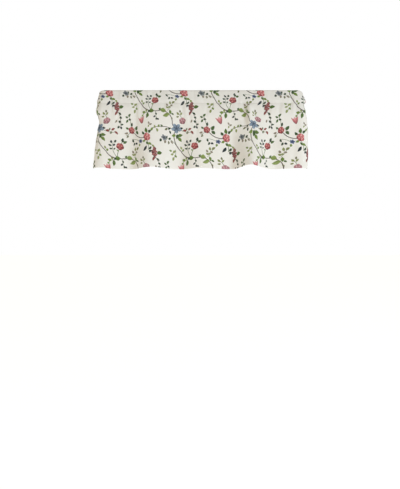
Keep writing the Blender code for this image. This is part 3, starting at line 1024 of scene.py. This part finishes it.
def rise(value, edge, height):
    """Return 0 before an edge's first place, rising to a height at its second."""
    return value.node("ShaderNodeMapRange", {}, {"Value": value, "From Min": edge[0], "From Max": edge[1],
                                                 "To Min": 0.0, "To Max": height})


# %% Cotton material
def cotton(name):
    """Return a printed cotton material."""
    material, shader = new_material(name, linear(GROUND_INK), COTTON_ROUGHNESS)
    tree = material.node_tree
    uv = Wire(tree).node("ShaderNodeUVMap", {"uv_map": "UVMap"})
    u, v = split(uv)[:2]
    across = (u - 0.5) * (CUT_WIDTH * 1000)
    down = (1.0 - v) * (CUT_LENGTH * 1000) + BACK_END * 1000
    flat_mm = across.node("ShaderNodeCombineXYZ", {}, {0: across, 1: down, 2: 0.0})
    wander_x, wander_y = split(noise(flat_mm, 0.085, output=1))[:2]
    wash = noise(flat_mm, 0.21)
    tiles = open_tiles(across + (wander_x - 0.5) * WOBBLE, down + (wander_y - 0.5) * WOBBLE)
    ground = tinted(plain_ink(uv, GROUND_INK), wash * 0.04 + 0.98)
    wood = draw_stems(tiles, WOOD)
    green = draw_stems(tiles, GREEN)
    ink = blend(green, ground, tinted(plain_ink(green, GREEN_INK), wash * 0.5 + 0.75))
    ink = blend(wood, ink, tinted(plain_ink(wood, WOOD_INK), wash * 0.6 + 0.70))
    kinds = ((LEAVES, draw_leaves), (BLUES, draw_blues), (ROSES, draw_roses), (BELLS, draw_bells))
    for motifs, draw in kinds:
        for layer in layers_of(motifs):
            inside, colour = draw(*nearest_motif(tiles, layer), wash)
            ink = blend(inside, ink, colour)
    strength = uv.node("ShaderNodeValue")
    strength.socket.node.name = INK_STRENGTH
    strength.socket.default_value = 1.0
    # Painted shade darkens the colour from 135 mm down to full over the pocket, and painted light brightens
    # it towards the foot.
    light = 1.0 - rise(down, POCKET_SHADE_EDGE, POCKET_PAINTED_SHADE) + rise(down, FOOT_EDGE, FOOT_PAINTED_LIGHT)
    colour = tinted(blend(strength, ground, ink), light)
    tree.links.new(colour.socket, shader.inputs["Base Color"])
    turn_a_thread = 2 * math.pi / THREAD_PITCH
    weave = (across * turn_a_thread).of("SINE") * (down * turn_a_thread).of("SINE")
    stretched = across.node("ShaderNodeCombineXYZ", {}, {0: across, 1: down * 0.4, 2: 0.0})
    crumple = noise(stretched, 0.035, detail=3.0)
    height = weave * WEAVE_HIGH + crumple * CRUMPLE_HIGH
    bump = height.node("ShaderNodeBump", {}, {"Height": height, "Distance": 1.0, "Strength": 1.0})
    tree.links.new(bump.socket, shader.inputs["Normal"])
    print(name, "has", len(tree.nodes), "nodes")
    return material


# %% [markdown]
# The sheet is one grid, smooth shaded, thickened by half its thickness each way.  Its outside has the
# print, and its inside and cut edges the reverse.  The UV map holds where each thread lies in the print.

# %% The sheet
on_grid = np.clip(places, -HALF_FLAT, HALF_FLAT)
run_across = read_surface(print_across, on_grid, np.minimum(downs, HEM_FOLD)) + (places - on_grid)
printed_across, printed_down = print_place(run_across, downs)
cloth = bmesh.new()
last_column, last_row = len(columns) - 1, len(rows_down) - 1
bmesh.ops.create_grid(cloth, x_segments=last_column, y_segments=last_row, size=1.0)
cloth_map = cloth.loops.layers.uv.new("UVMap")
for vert in cloth.verts:
    column, row = round((vert.co.x + 1) / 2 * last_column), round((1 - vert.co.y) / 2 * last_row)
    vert.index = column + row * (last_column + 1)
for face in cloth.faces:
    face.smooth = True
    for loop in face.loops:
        row, column = divmod(loop.vert.index, last_column + 1)
        loop[cloth_map].uv = (printed_across[row, column] / CUT_WIDTH + 0.5,
                              1 - (printed_down[row, column] - BACK_END) / CUT_LENGTH)
for vert in cloth.verts:
    row, column = divmod(vert.index, last_column + 1)
    vert.co = sheet_points[row, column]
cloth_mesh = bpy.data.meshes.new("valance_cloth")
cloth.to_mesh(cloth_mesh)
cloth.free()
print("the sheet has", len(cloth_mesh.polygons), "faces")

# %% Thickness and materials
valance = new_object("valance_cloth", cloth_mesh)
thicken = valance.modifiers.new("thicken", "SOLIDIFY")
thicken.thickness = THICKNESS
thicken.offset = 0.0
thicken.use_even_offset = False

cotton_face = cotton("cotton_face")
cotton_reverse = cotton_face.copy()
cotton_reverse.name = "cotton_reverse"
cotton_reverse.node_tree.nodes[INK_STRENGTH].outputs[0].default_value = REVERSE_INK
cloth_mesh.materials.append(cotton_face)
cloth_mesh.materials.append(cotton_reverse)
thicken.material_offset = 1
thicken.material_offset_rim = 1

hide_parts("panel", "pocket_strip")
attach(valance, "root")

# %% [markdown]
# ## Sewing
#
# One straight row of stitches closes the pocket, one holds the bottom hem and one each side hem.  It is
# lockstitch, so the same short stitches show on the front and on the back.  Every stitch is a small bead
# of thread drawn out along its seam and half sunk in the cloth, and all of them are one joined mesh.  A
# bump in the cotton could hint at them, but real beads also stand out at the edges of a close view.

# %% One stitch
STITCH = 0.0027
STITCH_PITCH = 0.0034
STITCH_THICK = 0.00055
STITCH_LOOK = 0.4                       # how far ahead a stitch looks for its direction, in pitches
THREAD_INK = (226, 222, 210)
THREAD_ROUGHNESS = 0.7
SEAM_IN = 0.003                         # from a turning's raw edge to its seam
WIDTH_ENDS = (0.003, 0.002)             # how far from the cloth's edges a row across starts and stops
LENGTH_ENDS = (0.004, 0.003)            # and a row down
SURFACE_OUT = FRONT_LAYER + THICKNESS / 2
HEM_SEAM = HEM_FOLD - HEM_DEPTH + SEAM_IN
SIDE_SEAM = HALF_FLAT - SIDE_HEM + SEAM_IN
front_drops = [row.drop for row in surface_drops[top_row:]]
FRONT_SEAM = float(np.interp(POCKET_DEPTH, front_drops, surface_down[top_row:]))
BACK_SEAM = float(surface_down[2])

bead = bmesh.new()
bmesh.ops.create_uvsphere(bead, u_segments=6, v_segments=4, radius=0.5)
bead_points = np.array([vert.co[:] for vert in bead.verts]) * (STITCH, STITCH_THICK, STITCH_THICK)
bead_faces = [[vert.index for vert in face.verts] for face in bead.faces]
bead.free()
print("one stitch has", len(bead_faces), "faces")

# %% Seams
thread_points, thread_faces = [], []


def seam(across, down, lift):
    """Add a row of stitches along the cloth; across and down run along the seam."""
    places, normals = on_surface(across, down, lift)
    across_on, down_on = across + np.gradient(across) * STITCH_LOOK, down + np.gradient(down) * STITCH_LOOK
    ahead = on_surface(across_on, down_on, lift)[0]
    for place, along, out in zip(places, ahead - places, normals):
        along = along / np.linalg.norm(along)
        first = len(thread_points) * len(bead_points)
        thread_points.append(place + bead_points @ np.array([along, np.cross(out, along), out]))
        thread_faces.extend([first + index for index in face] for face in bead_faces)


def layers_behind(across):
    """Return how far behind the surface the back of the bottom hem lies."""
    return FRONT_LAYER - LAYER * (1 + 2 * on_side_hem(across)) - THICKNESS / 2


whole_width = np.arange(-HALF_FLAT + WIDTH_ENDS[0], HALF_FLAT - WIDTH_ENDS[1], STITCH_PITCH)
for down, lift in ((FRONT_SEAM, SURFACE_OUT), (BACK_SEAM, SURFACE_OUT), (HEM_SEAM, SURFACE_OUT),
                   (HEM_SEAM, layers_behind(whole_width))):
    seam(whole_width, np.full(len(whole_width), down), lift + 0 * whole_width)
whole_length = np.arange(BACK_END + LENGTH_ENDS[0], HEM_FOLD - LENGTH_ENDS[1], STITCH_PITCH)
for side in (-1, 1):
    for lift in (SURFACE_OUT, FRONT_LAYER - LAYER - THICKNESS / 2):
        seam(np.full(len(whole_length), side * SIDE_SEAM), whole_length, lift + 0 * whole_length)
thread_mesh = bpy.data.meshes.new("sewing_thread")
thread_mesh.from_pydata(np.concatenate(thread_points).tolist(), [], thread_faces)
thread_mesh.shade_smooth()
sewing = new_object("sewing_thread", thread_mesh)
thread_mesh.materials.append(new_material("cotton_thread", linear(THREAD_INK), THREAD_ROUGHNESS)[0])
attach(sewing, "root")
print("stitches:", len(thread_points))
